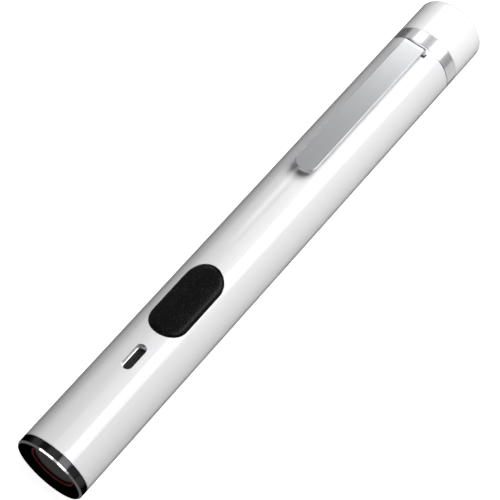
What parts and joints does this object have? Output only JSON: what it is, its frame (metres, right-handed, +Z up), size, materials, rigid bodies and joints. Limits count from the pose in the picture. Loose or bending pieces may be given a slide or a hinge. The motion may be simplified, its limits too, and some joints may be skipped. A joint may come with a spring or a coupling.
{
  "type": "non contact voltage tester",
  "caption": "Pen shaped non contact voltage tester with a push button, status slot, pocket clip, sensing window and screw-off battery cap.",
  "frame": {"origin": "under the middle of the pen's length, on the surface that the barrel lies on", "axes": "+X along the pen from the sensing face to the tail cap, +Z up through the button and the pocket clip"},
  "size_m": [0.162, 0.019, 0.022],
  "materials": {
    "shell_white": "smooth gloss moulding",
    "bezel_black": "polished black moulding",
    "seal_rubber": "smooth O-ring rubber",
    "ring_red": "translucent dark red light guide",
    "window_smoke": "smoked clear plastic",
    "bright_chrome": "polished",
    "satin_steel": "satin, brushed along its length",
    "button_rubber": "fine grained rubber",
    "carrier_plastic": "moulded",
    "sleeve_plastic": "moulded, natural white",
    "board_green": "solder mask",
    "chip_black": "moulded",
    "contact_brass": "plated strip",
    "contact_nickel": "nickel plated",
    "spring_steel": "drawn wire",
    "cell_jacket": "plain dark jacket",
    "led_red": "clear red resin",
    "led_clear": "clear resin"
  },
  "bodies": {
    "handle": {"barrel": "shell_white", "head_bezel": "bezel_black", "bezel_seal": "seal_rubber", "light_ring": "ring_red", "front_window": "window_smoke", "window_gasket": "seal_rubber", "nose_holder": "carrier_plastic", "sensor_plate": "contact_brass", "sensor_spring": "spring_steel", "alarm_led": "led_red", "led_leads": "contact_nickel", "window_trim": "bright_chrome", "status_window": "window_smoke", "status_led": "led_clear", "switch_body": "chip_black", "switch_cover": "contact_nickel", "circuit_board": "board_green", "microcontroller": "chip_black", "board_components": "carrier_plastic", "buzzer": "chip_black", "chassis": "carrier_plastic", "chassis_screws": "contact_nickel", "battery_sleeve": "sleeve_plastic", "positive_contact": "contact_nickel", "battery_front": "cell_jacket", "battery_rear": "cell_jacket", "return_strip": "contact_brass", "collar_ring": "bright_chrome", "clip_foot": "satin_steel"},
    "button": {"button_pad": "button_rubber", "button_carrier": "carrier_plastic"},
    "plunger": {"switch_plunger": "carrier_plastic"},
    "clip_blade": {"pocket_clip": "satin_steel"},
    "seal_ring": {"cap_seal": "seal_rubber"},
    "end_cap": {"tail_cap": "shell_white", "cap_contact": "contact_brass", "battery_spring": "spring_steel"}
  },
  "joints": [
    {"name": "button_press", "type": "slide", "parent": "handle", "child": "button", "axis": [0, 0, -1], "range_m": [0, 0.0005], "stiffness_N_per_m": 2500, "springref_m": -0.0004},
    {"name": "switch_press", "type": "slide", "parent": "handle", "child": "plunger", "axis": [0, 0, -1], "range_m": [0, 0.0005]},
    {"name": "clip_flex", "type": "hinge", "parent": "handle", "child": "clip_blade", "pos_m": [0.06215, 0, 0.0205], "axis": [0, 1, 0], "range_deg": [0, 4], "stiffness_Nm_per_rad": 4, "springref_deg": -2.86},
    {"name": "cap_advance", "type": "slide", "parent": "handle", "child": "seal_ring", "axis": [1, 0, 0], "range_m": [0, 0.006]},
    {"name": "cap_turn", "type": "hinge", "parent": "seal_ring", "child": "end_cap", "pos_m": [0.074, 0, 0.0095], "axis": [1, 0, 0], "range_deg": [0, 1440]}
  ],
  "couplings": [
    {"joint": "switch_press", "follows": "button_press", "ratio": 1},
    {"joint": "cap_advance", "follows": "cap_turn", "m_per_rad": 0.00023873}
  ]
}
